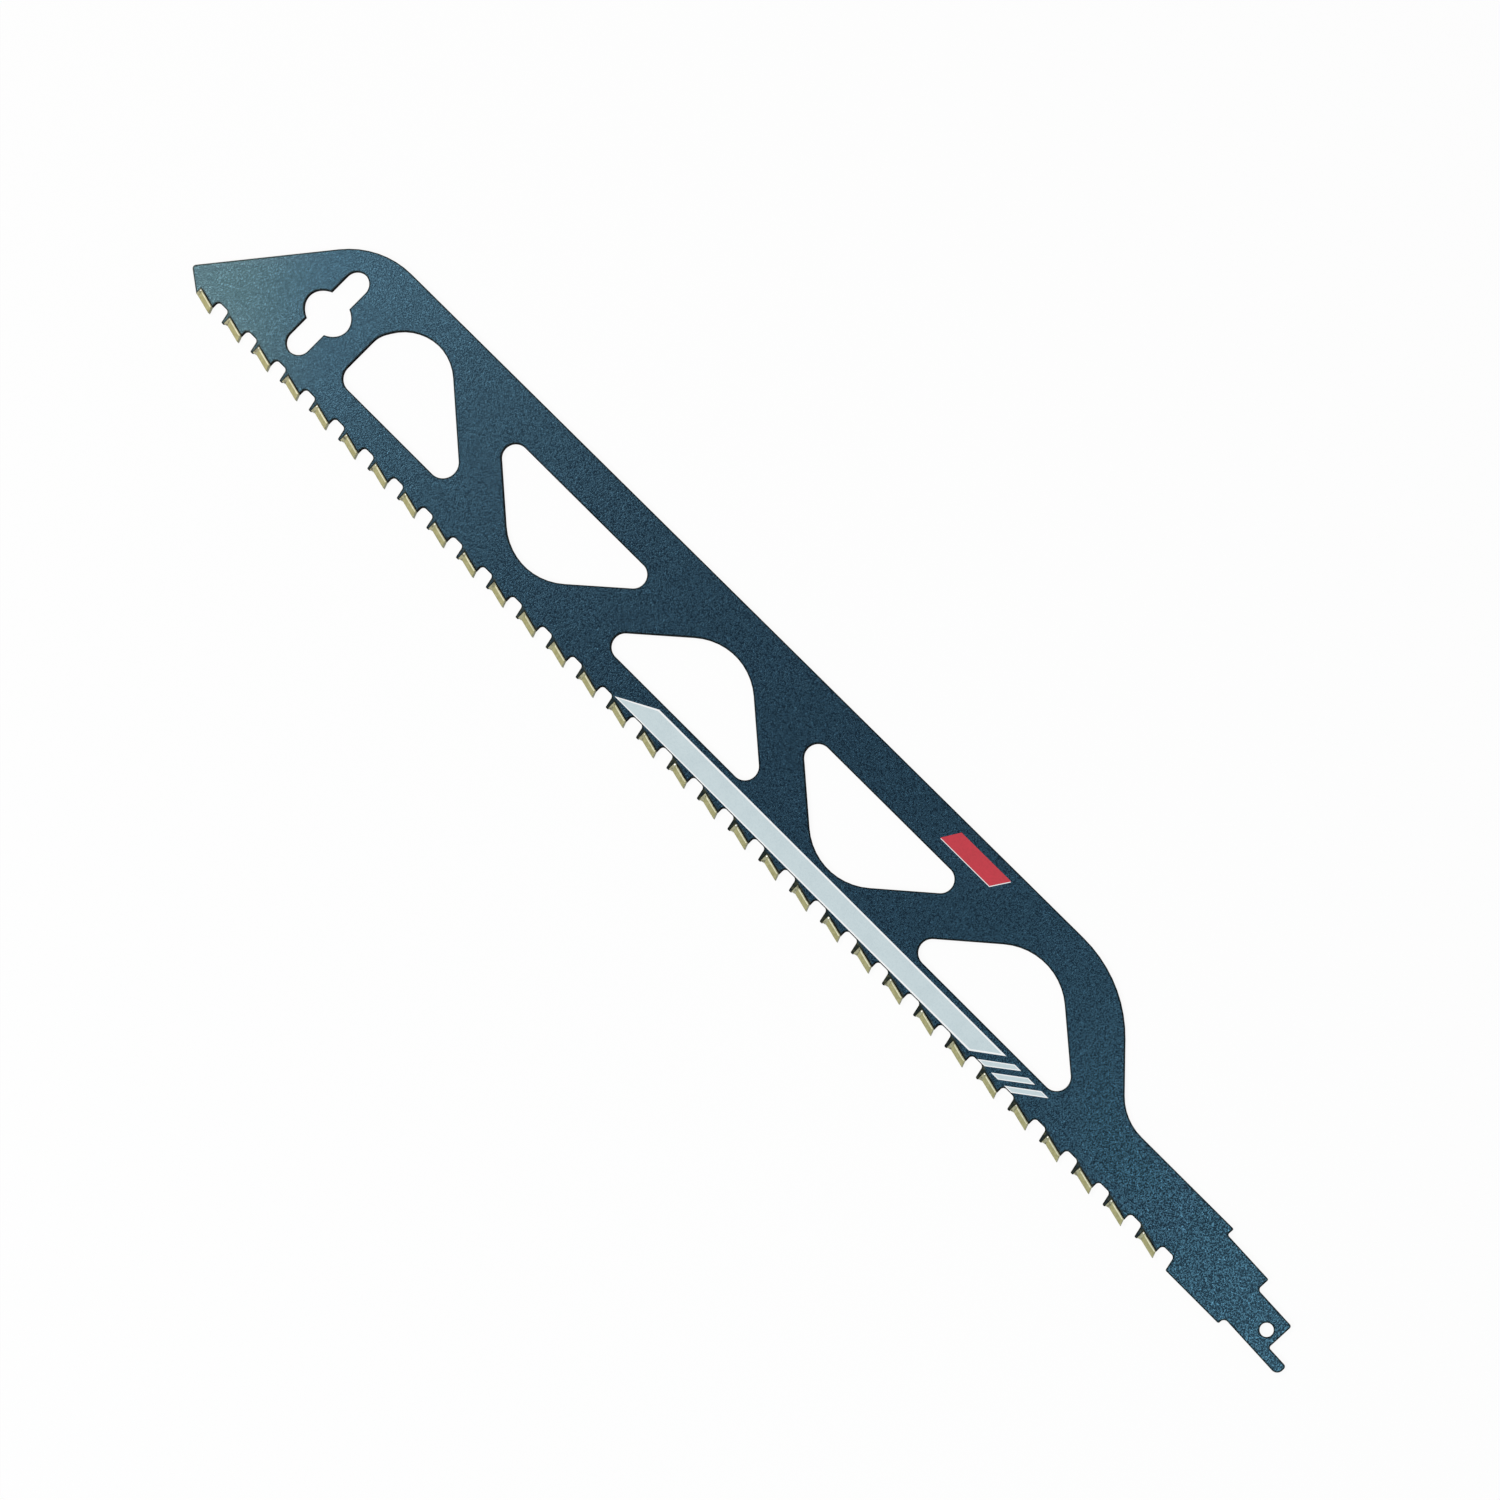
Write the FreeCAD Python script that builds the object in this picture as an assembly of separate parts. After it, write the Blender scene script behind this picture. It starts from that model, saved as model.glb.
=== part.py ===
import FreeCAD, Part
import math
import os

from FreeCAD import Vector

# Reciprocating saw blade with brazed carbide teeth, in millimetres and degrees.
# The origin is the centre of the shank's locating hole, midway through the plate.
# +X runs from the nose to the shank, +Y from the teeth to the spine, +Z out of the printed face.

# Whole blade
overall_length = 455.0
plate_thickness = 1.5
spine_height = 42.1             # spine above the hole's centre
waist_height = 13.55            # upper edge between heel and shank, above the hole's centre

# Nose
nose_angle = 49.7               # upper nose edge to the spine
nose_arc_radius = 27.8          # where that edge runs into the spine
nose_tip_drop = 43.9            # sharp nose corner below the spine
nose_tip_radius = 1.1
chin_angle = 35.3               # lower nose edge to the spine

# Heel, where the wide blade sweeps down to the waist
heel_angle = 46.0
heel_arc_radius = 39.8
waist_arc_radius = 16.1
waist_arc_end = 62.8            # end of the sweep, before the hole

# Shank, canted down from the line of the spine, with two steps on its upper edge and a finger at its end
shank_cant = 2.6
tang_top = 5.85                 # above the hole's centre
tang_bottom = 6.55              # below the hole's centre
tang_end = 4.0                  # end face past the hole
finger_length = 7.2             # past the tang's end face
finger_height = 3.65
finger_top_radius = 1.0
finger_bottom_radius = 2.0
hole_diameter = 4.0
waist_end = 26.85               # first step down, before the hole
shoulder_top = 9.95             # upper shoulder above the hole's centre
shoulder_end = 9.9              # second step down, before the hole
shoulder_bottom = 8.3           # lower shoulder below the hole's centre
foot_inset = 0.5                # lower shoulder ends this much before the upper one
waist_corner_radius = 0.45
shoulder_corner_radius = 0.5
tang_corner_radius = 0.8
first_step_root_radius = 0.6
second_step_root_radius = 1.1
finger_root_radius = 0.7
foot_corner_radius = 0.5
foot_root_radius = 1.4

# Carbide tips on a regular pitch, cutting towards the shank
tooth_pitch = 12.7
last_tooth_place = 36.6         # last cutting point before the hole
tooth_point_depth = 8.45        # cutting points below the hole's centre
relief_angle = 13.5             # flank to the line of the points
hook_angle = 19.5               # cutting face off square
flank_length = 5.95
tip_height = 1.72               # square to the flank
tip_rear_angle = 15.0           # back face off square
tip_overhang = 0.4              # cutting edge past each face of the plate
side_clearance_back = 1.2       # each side narrows towards the back
side_clearance_up = 1.5         # each side narrows towards the seat

# Seats, braze filler, guard posts and gullets
seat_lip = 0.12                 # seat's front past the top of the cutting face
filler_layer = 0.15             # between the seat and the tip
filler_bulge = 0.2              # filler past each face of the plate
pool_width = 0.7                # filler between the guard and the top of the tip's back
pool_inset = 0.35               # pool's lower edge above the guard's end
guard_end_width = 0.85
guard_end_height = 0.7          # guard's end above the cutting points
guard_end_radius = 0.38
guard_lean = 12.3               # guard's outer wall off square
seat_backing = 0.95             # steel between the seat's back corner and the gullet floor
gullet_radius = 1.15
chin_land = 0.6                 # steel between the lower nose edge and the first tip

# Windows: a row of triangles that point up and down in turn, ended by a wider one
upper_rail = 12.85              # steel between the spine and the windows
lower_rail = 8.55               # steel between the gullet floors and the windows
window_base = 72.2
window_angle = 40.3             # sloping sides to the base
window_spacing = 63.5
heel_window_place = 116.9       # middle of the window nearest the heel, before the hole
window_corner_radius = 4.0
window_apex_radius = 19.2
end_window_toe = 0.65           # its far corner past the row's own place
end_window_least_base = 18.0    # where there is less room than this the row ends without it
end_window_peak = 36.15         # sharp peak from the base line
end_window_side = 17.5          # length of the square side
end_window_corner_radius = 4.6
end_window_peak_radius = 15.6
end_window_side_radius = 7.7

# Hanging slot across the nose, with an oval through its middle
slot_place = 39.85              # slot's middle behind the nose tip
slot_drop = 25.65               # slot's middle below the spine
slot_length = 31.8
slot_width = 7.8
oval_along = 16.1
oval_across = 12.2
slot_to_end_window = 16.0       # slot's middle to the end window's square side

shortest_edge = 0.001           # a straight side shorter than this is left to the arcs beside it


def tangent(angle):
    """The tangent of an angle in degrees."""
    return math.tan(math.radians(angle))


def on_shank(u, v):
    """A point of the shank, from its places along and across the canted tang."""
    cant = math.radians(shank_cant)
    return u * math.cos(cant) + v * math.sin(cant), v * math.cos(cant) - u * math.sin(cant)


def finger_reach():
    """How far the rounded end of the finger reaches past the hole, along the blade."""
    arc_u = tang_end + finger_length - finger_top_radius
    arc_v = finger_height - tang_bottom - finger_top_radius
    return on_shank(arc_u, arc_v)[0] + finger_top_radius


def nose_tip_x():
    """Place of the nose tip along the blade."""
    return finger_reach() - overall_length


def nose_corner():
    """The sharp corner of the nose, placed so that the rounded one gives the overall length."""
    half = math.radians(nose_angle + chin_angle) / 2
    lean = math.radians(nose_angle - chin_angle) / 2
    rounding = nose_tip_radius * (math.cos(lean) / math.sin(half) - 1)
    return nose_tip_x() - rounding, spine_height - nose_tip_drop


def chin_height(x):
    """Height of the lower nose edge at a place along the blade."""
    corner_x, corner_y = nose_corner()
    return corner_y - (x - corner_x) * tangent(chin_angle)


def chin_place(y):
    """Place along the blade where the lower nose edge has a height."""
    corner_x, corner_y = nose_corner()
    return corner_x + (corner_y - y) / tangent(chin_angle)


def tip_profile():
    """Side view of a tip, from its cutting point: the point, flank's back, top's back, top of the face."""
    relief = math.radians(relief_angle)
    hook = math.radians(hook_angle)
    rear = math.radians(tip_rear_angle)
    face_length = tip_height / math.cos(hook + relief)
    rear_length = tip_height / math.cos(rear + relief)
    flank_x = -flank_length * math.cos(relief)
    flank_y = flank_length * math.sin(relief)
    top_back = (flank_x - rear_length * math.sin(rear), flank_y + rear_length * math.cos(rear))
    face_top = (-face_length * math.sin(hook), face_length * math.cos(hook))
    return (0, 0), (flank_x, flank_y), top_back, face_top


def seat_height(x):
    """Height of the steel seat above the cutting point, at a place from that point."""
    layer = (tip_height + filler_layer) / math.cos(math.radians(relief_angle))
    return layer - x * tangent(relief_angle)


def seat_front():
    """Place of the seat's front end from the cutting point."""
    return tip_profile()[3][0] + seat_lip


def guard_inner():
    """Place of the guard's inner wall from the cutting point."""
    return tip_profile()[2][0] - pool_width


def gullet_depth():
    """Height of the gullet floor above the cutting points."""
    return seat_height(guard_inner()) + seat_backing


def guard_outer(height):
    """Place of the guard's sloping outer wall from the cutting point, at a height above it."""
    return guard_inner() - guard_end_width - (height - guard_end_height) * tangent(guard_lean)


def tooth_places():
    """Places of the cutting points along the blade, from the nose: as many as the edge has room for."""
    flank_back = tip_profile()[1]
    room = chin_place(flank_back[1] - tooth_point_depth) + chin_land - flank_back[0]
    spaces = int((-last_tooth_place - room) / tooth_pitch)
    return [-last_tooth_place - tooth_pitch * n for n in range(spaces, -1, -1)]


def corner_reaches(points, radii):
    """How far each corner's arc reaches along its two sides, cut back where two arcs would meet."""
    count = len(points)
    wanted = []
    for n in range(count):
        before = points[n - 1] - points[n]
        after = points[(n + 1) % count] - points[n]
        wanted.append(radii[n] / math.tan(before.getAngle(after) / 2))
    reaches = list(wanted)
    for n in range(count):
        after = (n + 1) % count
        side = (points[after] - points[n]).Length
        total = wanted[n] + wanted[after]
        if total > side:
            reaches[n] = min(reaches[n], wanted[n] * side / total)
            reaches[after] = min(reaches[after], wanted[after] * side / total)
    return reaches


def corner_arc(before, here, after, reach):
    """The arc across a corner that touches both its sides at a reach from it."""
    back = (before - here).normalize()
    on = (after - here).normalize()
    half = back.getAngle(on) / 2
    bulge = reach * (1 - math.sin(half)) / math.cos(half)
    middle = here + (back + on).normalize() * bulge
    return Part.Arc(here + back * reach, middle, here + on * reach).toShape()


def round_wire(corners):
    """A closed wire through corners (x, y, radius), each rounded by an arc that touches both its sides."""
    points = [Vector(x, y, 0) for x, y, radius in corners]
    reaches = corner_reaches(points, [radius for x, y, radius in corners])
    edges = []
    for n, here in enumerate(points):
        before = points[n - 1]
        on = (here - before).normalize()
        start = before + on * reaches[n - 1]
        end = here - on * reaches[n]
        if (end - start).Length > shortest_edge:
            edges.append(Part.makeLine(start, end))
        if reaches[n] > 0:
            edges.append(corner_arc(before, here, points[(n + 1) % len(points)], reaches[n]))
    return Part.Wire(edges)


def flat_piece(wire, thickness):
    """A flat piece with the outline of a wire, midway about the plate's middle plane."""
    piece = Part.Face(wire).extrude(Vector(0, 0, thickness))
    piece.translate(Vector(0, 0, -thickness / 2))
    return piece


def nose_corners():
    """The nose tip, and the corner where the upper nose edge meets the spine."""
    tip_x, tip_y = nose_corner()
    spine_x = tip_x + nose_tip_drop / tangent(nose_angle)
    return [(tip_x, tip_y, nose_tip_radius), (spine_x, spine_height, nose_arc_radius)]


def heel_corners():
    """The heel: a large arc off the spine, a slope, and a smaller arc into the waist."""
    lower_x = -waist_arc_end - waist_arc_radius * tangent(heel_angle / 2)
    upper_x = lower_x - (spine_height - waist_height) / tangent(heel_angle)
    return [(upper_x, spine_height, heel_arc_radius), (lower_x, waist_height, waist_arc_radius)]


def shank_corners():
    """From the waist down the two steps, round the tang and its finger, to the lower shoulder."""
    finger_v = finger_height - tang_bottom
    finger_u = tang_end + finger_length
    foot_u = -shoulder_end - foot_inset
    corners = [(on_shank(-waist_end, waist_height)[0], waist_height, waist_corner_radius)]
    for u, v, radius in ((-waist_end, shoulder_top, first_step_root_radius),
                         (-shoulder_end, shoulder_top, shoulder_corner_radius),
                         (-shoulder_end, tang_top, second_step_root_radius),
                         (tang_end, tang_top, tang_corner_radius),
                         (tang_end, finger_v, finger_root_radius),
                         (finger_u, finger_v, finger_top_radius),
                         (finger_u, -tang_bottom, finger_bottom_radius),
                         (foot_u, -tang_bottom, foot_root_radius)):
        corners.append(on_shank(u, v) + (radius,))
    corners.append((on_shank(foot_u, -shoulder_bottom)[0], -shoulder_bottom, foot_corner_radius))
    return corners


def gullet_corners(point_x):
    """The gullet before a tooth's face: the next guard's root, the floor, and the front of the seat."""
    floor = gullet_depth() - tooth_point_depth
    front = point_x + seat_front()
    return [(point_x + tooth_pitch + guard_outer(gullet_depth()), floor, gullet_radius),
            (front, floor, gullet_radius),
            (front, seat_height(seat_front()) - tooth_point_depth, 0)]


def guard_corners(point_x):
    """The guard post behind a tip, from its inner foot on the seat to its outer side."""
    inner = point_x + guard_inner()
    end = guard_end_height - tooth_point_depth
    return [(inner, seat_height(guard_inner()) - tooth_point_depth, 0),
            (inner, end, guard_end_radius),
            (point_x + guard_outer(guard_end_height), end, guard_end_radius)]


def first_seat_corners(point_x):
    """The first tip has no guard: the lower nose edge runs down to the back of its seat."""
    inner = point_x + guard_inner()
    end = guard_end_height - tooth_point_depth
    corners = [(inner, seat_height(guard_inner()) - tooth_point_depth, 0)]
    if chin_height(inner) < end:
        corners.append((inner, end, guard_end_radius))
        corners.append((chin_place(end), end, 0))
    else:
        corners.append((inner, chin_height(inner), 0))
    return corners


def toothed_edge_corners():
    """The cutting edge from the lower shoulder back to the nose."""
    places = tooth_places()
    side_x = places[-1] + tooth_pitch + guard_outer(tooth_point_depth - shoulder_bottom)
    corners = [(side_x, -shoulder_bottom, foot_corner_radius)]
    for point_x in reversed(places[1:]):
        corners += gullet_corners(point_x) + guard_corners(point_x)
    return corners + gullet_corners(places[0]) + first_seat_corners(places[0])


def window_base_height(points_up):
    """Height of a window's base line: beside the lower rail, or beside the upper one."""
    if points_up:
        return gullet_depth() - tooth_point_depth + lower_rail
    return spine_height - upper_rail


def full_window_corners(middle_x, points_up):
    """A triangle with two equal sides, its apex away from its base line."""
    half = window_base / 2
    base = window_base_height(points_up)
    rise = half * tangent(window_angle) * (1 if points_up else -1)
    return [(middle_x - half, base, window_corner_radius),
            (middle_x + half, base, window_corner_radius),
            (middle_x, base + rise, window_apex_radius)]


def end_window_corners(side_x, toe_x, points_up):
    """The window beside the hanging slot: a side square to the blade there, and one on the row's slope."""
    base = window_base_height(points_up)
    up = 1 if points_up else -1
    corners = [(side_x, base, end_window_corner_radius), (toe_x, base, end_window_corner_radius)]
    peak_x = toe_x - end_window_peak / tangent(window_angle)
    if peak_x > side_x:
        corners.append((peak_x, base + up * end_window_peak, end_window_peak_radius))
        corners.append((side_x, base + up * end_window_side, end_window_side_radius))
    else:
        peak = (toe_x - side_x) * tangent(window_angle)
        corners.append((side_x, base + up * peak, end_window_side_radius))
    return corners


def slot_middle():
    """The middle of the hanging slot."""
    return nose_tip_x() + slot_place, spine_height - slot_drop


def window_wires():
    """The row of windows from the heel: full ones while they fit, then one as long as the room left."""
    side_x = slot_middle()[0] + slot_to_end_window
    middle_x = -heel_window_place
    points_up = True
    wires = []
    while middle_x - window_base / 2 > side_x:
        wires.append(round_wire(full_window_corners(middle_x, points_up)))
        middle_x -= window_spacing
        points_up = not points_up
    toe_x = middle_x + window_base / 2 + end_window_toe
    if toe_x - side_x > end_window_least_base:
        wires.append(round_wire(end_window_corners(side_x, toe_x, points_up)))
    return wires


def slot_cutters(depth):
    """The hanging slot: a long slot square to the blade, and an oval through its middle."""
    x, y = slot_middle()
    sides = slot_width / 2
    ends = slot_length / 2
    corners = []
    for across, along in ((-1, -1), (1, -1), (1, 1), (-1, 1)):
        corners.append((x + across * sides, y + along * ends, sides))
    oval = Part.Ellipse(Vector(x, y, 0), oval_along / 2, oval_across / 2)
    return [flat_piece(round_wire(corners), depth), flat_piece(Part.Wire(oval.toShape()), depth)]


def blade_body():
    """The steel plate with its toothed edge and shank, cut through by windows, slot and shank hole."""
    corners = nose_corners() + heel_corners() + shank_corners() + toothed_edge_corners()
    body = flat_piece(round_wire(corners), plate_thickness)
    depth = 2 * plate_thickness
    cutters = [flat_piece(wire, depth) for wire in window_wires()]
    cutters += slot_cutters(depth)
    hole = Part.Circle(Vector(0, 0, 0), Vector(0, 0, 1), hole_diameter / 2)
    cutters.append(flat_piece(Part.Wire(hole.toShape()), depth))
    return body.cut(cutters)


def tip_half_width(x, y):
    """Half a tip's width at a place in its side view: it narrows towards its back and its seat."""
    at_point = plate_thickness / 2 + tip_overhang
    return at_point + x * tangent(side_clearance_back) - y * tangent(side_clearance_up)


def flat_face(points):
    """The flat face inside a closed run of straight edges."""
    return Part.Face(Part.makePolygon(points + points[:1]))


def carbide_tip(point_x):
    """A tip with its cutting point at point_x: six flat faces, the two sides with clearance."""
    sides = []
    for side in (1, -1):
        sides.append([Vector(point_x + x, y - tooth_point_depth, side * tip_half_width(x, y))
                      for x, y in tip_profile()])
    left, right = sides
    faces = [flat_face(left), flat_face(right)]
    for n in range(4):
        faces.append(flat_face([left[n - 1], left[n], right[n], right[n - 1]]))
    tip = Part.makeSolid(Part.makeShell(faces))
    if tip.Volume < 0:
        tip.reverse()
    return tip


def braze_filler(point_x, pool_end):
    """The filler at one tip: a layer along the seat, and a pool that ends at a height behind the tip."""
    flank_back, top_back, face_top = tip_profile()[1:]
    outline = [(guard_inner(), pool_end), flank_back, top_back, face_top,
               (seat_front(), seat_height(seat_front())),
               (guard_inner(), seat_height(guard_inner()))]
    corners = [(point_x + x, y - tooth_point_depth, 0) for x, y in outline]
    return flat_piece(round_wire(corners), plate_thickness + 2 * filler_bulge)


def all_fillers():
    """The filler at each tip; the lower nose edge trims the pool behind the first one."""
    places = tooth_places()
    pool_end = guard_end_height + pool_inset
    chin_end = chin_height(places[0] + guard_inner()) + tooth_point_depth
    fillers = [braze_filler(places[0], max(pool_end, chin_end))]
    return fillers + [braze_filler(point_x, pool_end) for point_x in places[1:]]


def write(name, shape):
    """Write one piece, and say what it is."""
    shape.exportStep(os.path.join("parts", name + ".step"))
    print("%s: %d solid, valid %s, %.2f mm3" % (name, len(shape.Solids), shape.isValid(), shape.Volume))


def main():
    """Write every piece of the blade."""
    os.makedirs("parts", exist_ok=True)
    write("blade_body", blade_body())
    write("braze_filler", Part.makeCompound(all_fillers()))
    for n, point_x in enumerate(tooth_places(), 1):
        write("carbide_tip_%02d" % n, carbide_tip(point_x))


main()
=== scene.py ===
import logging
import math
from dataclasses import dataclass
from enum import Enum, IntEnum

import bmesh
import bpy
from mathutils import Euler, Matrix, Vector, noise


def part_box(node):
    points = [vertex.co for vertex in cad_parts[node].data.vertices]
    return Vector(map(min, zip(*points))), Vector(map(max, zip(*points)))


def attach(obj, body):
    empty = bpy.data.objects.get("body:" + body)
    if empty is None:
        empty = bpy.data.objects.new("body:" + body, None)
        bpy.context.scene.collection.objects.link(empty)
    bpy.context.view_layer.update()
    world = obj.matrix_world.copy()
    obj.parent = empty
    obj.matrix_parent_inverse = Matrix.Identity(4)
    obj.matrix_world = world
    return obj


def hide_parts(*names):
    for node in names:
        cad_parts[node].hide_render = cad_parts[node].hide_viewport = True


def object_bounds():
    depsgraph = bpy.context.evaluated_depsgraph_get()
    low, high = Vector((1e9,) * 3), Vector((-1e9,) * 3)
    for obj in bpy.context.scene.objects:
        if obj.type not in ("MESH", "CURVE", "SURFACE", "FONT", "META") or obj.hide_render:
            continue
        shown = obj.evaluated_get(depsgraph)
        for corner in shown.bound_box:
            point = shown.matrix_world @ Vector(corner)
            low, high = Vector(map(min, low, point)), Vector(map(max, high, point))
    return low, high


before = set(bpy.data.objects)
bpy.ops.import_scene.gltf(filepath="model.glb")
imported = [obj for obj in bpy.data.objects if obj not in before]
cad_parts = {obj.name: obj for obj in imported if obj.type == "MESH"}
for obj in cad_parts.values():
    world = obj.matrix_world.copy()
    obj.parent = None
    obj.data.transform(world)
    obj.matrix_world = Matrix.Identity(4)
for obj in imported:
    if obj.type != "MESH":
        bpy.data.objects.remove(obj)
cad_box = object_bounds()

LOG = logging.getLogger("saw_blade")
MM = 0.001

# Points this near to one another are joined.
SAME_POINT = 0.0005 * MM
# A point this near to a face's level is on it.
SAME_LEVEL = 0.001 * MM
# Upright share of a normal above which a face is flat.
FLAT_SHARE = 0.9
# Upright share of a normal below which a face is a wall.
WALL_SHARE = 0.5
# Bend above which an edge is a crease.
CREASE_ANGLE = math.radians(50)
# Bend below which the two faces at an edge are one.
LEVEL_ANGLE = math.radians(1)
# Least divisor of a mitre, so that a sharp corner doesn't shoot out.
LEAST_DIVISOR = 0.2

Colour = tuple[float, float, float]
Point = tuple[float, float, float]
Place = tuple[float, float]
Limits = tuple[float, float]
Ring = list[Vector]


class Axis(Enum):
    """The names of a separated vector's outputs."""

    ALONG = "X"
    ACROSS = "Y"


class PlateFinish(IntEnum):
    """Material numbers of the plate's faces."""

    WALL = 0
    RIM = 1
    FACE = 2


class TipFinish(IntEnum):
    """Material numbers of a tip's faces."""

    FIELD = 0
    BORDER = 1


class BrazeFinish(IntEnum):
    """Material numbers of the brazing metal's faces."""

    POOL = 0
    BEAD = 1
    DROP = 2


class PrintFinish(IntEnum):
    """Material numbers of a printed field's layers."""

    UNDERPRINT = 0
    INK = 1


class Value:
    """A number socket that takes part in Python arithmetic by adding Math nodes."""

    def __init__(self, board: "Board", socket: bpy.types.NodeSocket) -> None:
        """Wraps a socket of a board.

        Args:
            board: the node board that the socket is on.
            socket: an output socket that carries a number.
        """
        self.board = board
        self.socket = socket

    def _math(self, operation: str, first: "Value | float", second: "Value | float") -> "Value":
        """Adds one Math node.

        Args:
            operation: the node's operation.
            first: its first operand.
            second: its second operand.

        Returns:
            The node's result.
        """
        node = self.board.add("Math", {"operation": operation}, {0: first, 1: second})
        return Value(self.board, node.outputs[0])

    def __add__(self, other: "Value | float") -> "Value":
        """This plus other."""
        return self._math("ADD", self, other)

    def __radd__(self, other: float) -> "Value":
        """Other plus this."""
        return self._math("ADD", other, self)

    def __sub__(self, other: "Value | float") -> "Value":
        """This minus other."""
        return self._math("SUBTRACT", self, other)

    def __rsub__(self, other: float) -> "Value":
        """Other minus this."""
        return self._math("SUBTRACT", other, self)

    def __mul__(self, other: "Value | float") -> "Value":
        """This times other."""
        return self._math("MULTIPLY", self, other)

    def __rmul__(self, other: float) -> "Value":
        """Other times this."""
        return self._math("MULTIPLY", other, self)

    def remainder(self, period: float) -> "Value":
        """What is left of this above the next whole number of periods down."""
        return self._math("FLOORED_MODULO", self, period)

    def at_least(self, other: "Value | float") -> "Value":
        """The larger of this and other."""
        return self._math("MAXIMUM", self, other)

    def fade(self, start: float, end: float) -> "Value":
        """Smoothly turns this into 0 at start and 1 at end, and keeps to that range.

        Args:
            start: the value that gives 0.
            end: the value that gives 1; it may be below start.

        Returns:
            A number from 0 to 1.
        """
        settings = {"interpolation_type": "SMOOTHSTEP", "clamp": True}
        node = self.board.add("MapRange", settings, {"Value": self, "From Min": start, "From Max": end})
        return Value(self.board, node.outputs["Result"])


class Board:
    """The node board of one material or of the world."""

    def __init__(self, owner: bpy.types.Material | bpy.types.World) -> None:
        """Clears the owner's nodes.

        Args:
            owner: the material or world that the board belongs to.
        """
        owner.use_nodes = True
        self.owner = owner
        self.tree = owner.node_tree
        self.tree.nodes.clear()

    def add(self, kind: str, settings: dict | None = None, values: dict | None = None) -> bpy.types.Node:
        """Adds one node of any kind.

        Args:
            kind: the node's type, without its ShaderNode prefix.
            settings: properties of the node, set first; "stops" holds a ramp's (place, colour) pairs.
            values: numbers, colours or links of its input sockets, by name, identifier or number.

        Returns:
            The new node.
        """
        node = self.tree.nodes.new("ShaderNode" + kind)
        for name, setting in (settings or {}).items():
            if name == "stops":
                self._set_stops(node.color_ramp, setting)
            else:
                setattr(node, name, setting)
        for name, value in (values or {}).items():
            self._feed(self._input(node, name), value)
        return node

    @staticmethod
    def _set_stops(ramp: bpy.types.ColorRamp, stops: tuple[tuple[float, Colour], ...]) -> None:
        """Gives a ramp its stops.

        Args:
            ramp: the ramp of a ColorRamp node.
            stops: (place, colour) pairs in order.
        """
        while len(ramp.elements) < len(stops):
            ramp.elements.new(1.0)
        for element, (place, colour) in zip(ramp.elements, stops):
            element.position = place
            element.color = (*colour, 1.0)

    @staticmethod
    def _input(node: bpy.types.Node, name: str | int) -> bpy.types.NodeSocket:
        """Finds an input socket.

        Args:
            node: the node that has it.
            name: its number, identifier or name.

        Returns:
            The socket.
        """
        if isinstance(name, int):
            return node.inputs[name]
        for socket in node.inputs:
            if socket.identifier == name:
                return socket
        return node.inputs[name]

    def _feed(self, socket: bpy.types.NodeSocket, value: object) -> None:
        """Links or sets one input socket.

        Args:
            socket: the input socket.
            value: a Value, an output socket, a number or a colour.
        """
        if isinstance(value, Value):
            self.tree.links.new(value.socket, socket)
        elif isinstance(value, bpy.types.NodeSocket):
            self.tree.links.new(value, socket)
        elif isinstance(value, tuple) and len(value) == 3 and socket.type == "RGBA":
            socket.default_value = (*value, 1.0)
        else:
            socket.default_value = value

    def value(self, socket: bpy.types.NodeSocket) -> Value:
        """Wraps a socket for arithmetic."""
        return Value(self, socket)

    def coordinates(self) -> bpy.types.NodeSocket:
        """The place on the object, in metres of the row frame."""
        return self.add("TexCoord").outputs["Object"]

    def along(self, axis: Axis) -> Value:
        """One coordinate of the place on the object."""
        node = self.add("SeparateXYZ", None, {"Vector": self.coordinates()})
        return self.value(node.outputs[axis.value])

    def grain(self, size: float, detail: float = 2.0, stretch: Point = (1.0, 1.0, 1.0)) -> Value:
        """Cloudy noise from 0 to 1.

        Args:
            size: the size of a cloud in metres.
            detail: how many finer levels the noise has.
            stretch: how much denser the noise is along each axis.

        Returns:
            The noise's value.
        """
        place = self.add("Mapping", None, {"Vector": self.coordinates(), "Scale": stretch})
        values = {"Vector": place.outputs[0], "Scale": 1.0 / size, "Detail": detail}
        return self.value(self.add("TexNoise", None, values).outputs[0])

    def cells(self, size: float) -> Value:
        """Small cells, each with a random value from 0 to 1.

        Args:
            size: the size of a cell in metres.

        Returns:
            The cell's value.
        """
        values = {"Vector": self.coordinates(), "Scale": 1.0 / size}
        node = self.add("TexVoronoi", None, values)
        parts = self.add("SeparateColor", None, {"Color": node.outputs["Color"]})
        return self.value(parts.outputs[0])

    def mix(self, factor: Value, first: object, second: object) -> bpy.types.NodeSocket:
        """Blends two colours, and goes past either where the factor does.

        Args:
            factor: 0 gives the first colour and 1 the second.
            first: a colour or a colour socket.
            second: a colour or a colour socket.

        Returns:
            The blended colour's socket.
        """
        values = {"Factor_Float": factor, "A_Color": first, "B_Color": second}
        settings = {"data_type": "RGBA", "clamp_factor": False}
        return self.add("Mix", settings, values).outputs[2]

    def ramp(self, factor: Value, stops: tuple[tuple[float, Colour], ...]) -> bpy.types.NodeSocket:
        """Turns a number from 0 to 1 into a colour.

        Args:
            factor: the number.
            stops: (place, colour) pairs in order.

        Returns:
            The colour's socket.
        """
        return self.add("ValToRGB", {"stops": stops}, {"Fac": factor}).outputs["Color"]

    def bump(self, height: Value, strength: float, distance: float) -> bpy.types.NodeSocket:
        """A normal that follows a height.

        Args:
            height: the height, from 0 to 1.
            strength: how far the normal follows it.
            distance: the depth in metres that a height of 1 stands for.

        Returns:
            The normal's socket.
        """
        values = {"Height": height, "Strength": strength, "Distance": distance}
        return self.add("Bump", None, values).outputs["Normal"]

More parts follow.
